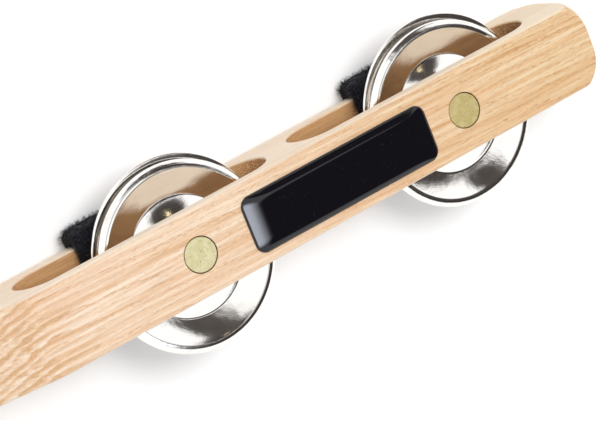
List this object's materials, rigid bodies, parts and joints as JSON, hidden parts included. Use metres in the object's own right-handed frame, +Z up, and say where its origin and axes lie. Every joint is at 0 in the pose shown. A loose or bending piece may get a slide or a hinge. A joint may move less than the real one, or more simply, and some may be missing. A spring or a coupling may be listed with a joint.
{
  "type": "jingle stick",
  "caption": "Hand percussion stick: a square wooden bar with slots that hold loose pairs of stamped jingles on brass pins, with a plain domed plate and fleece straps.",
  "frame": {"origin": "bottom centre of the whole object as it lies on its back, on the table", "axes": "+X along the stick towards the tip, +Y across it through the slots, +Z up out of the front face"},
  "size_m": [0.304, 0.056, 0.0303],
  "materials": {
    "ash": "bare, sanded",
    "nickel": "bright nickel plated steel",
    "brass": "flat, lightly scratched",
    "plate_black": "clear domed gloss over black",
    "fleece_black": "short fuzzy pile"
  },
  "bodies": {
    "frame": {"stick": "ash", "label": "plate_black", "pin_left": "brass", "pin_right": "brass", "strap_left": "fleece_black", "strap_right": "fleece_black"},
    "left_front_jingle": {"jingle_left_front": "nickel"},
    "left_rear_jingle": {"jingle_left_rear": "nickel"},
    "right_front_jingle": {"jingle_right_front": "nickel"},
    "right_rear_jingle": {"jingle_right_rear": "nickel"}
  },
  "joints": [
    {"name": "left_front_slide", "type": "slide", "parent": "frame", "child": "left_front_jingle", "axis": [0, 0, 1], "range_m": [0, 0.0011]},
    {"name": "left_rear_slide", "type": "slide", "parent": "frame", "child": "left_rear_jingle", "axis": [0, 0, 1], "range_m": [-0.0037, 0]},
    {"name": "right_front_slide", "type": "slide", "parent": "frame", "child": "right_front_jingle", "axis": [0, 0, 1], "range_m": [0, 0.0011]},
    {"name": "right_rear_slide", "type": "slide", "parent": "frame", "child": "right_rear_jingle", "axis": [0, 0, 1], "range_m": [-0.0037, 0]}
  ]
}
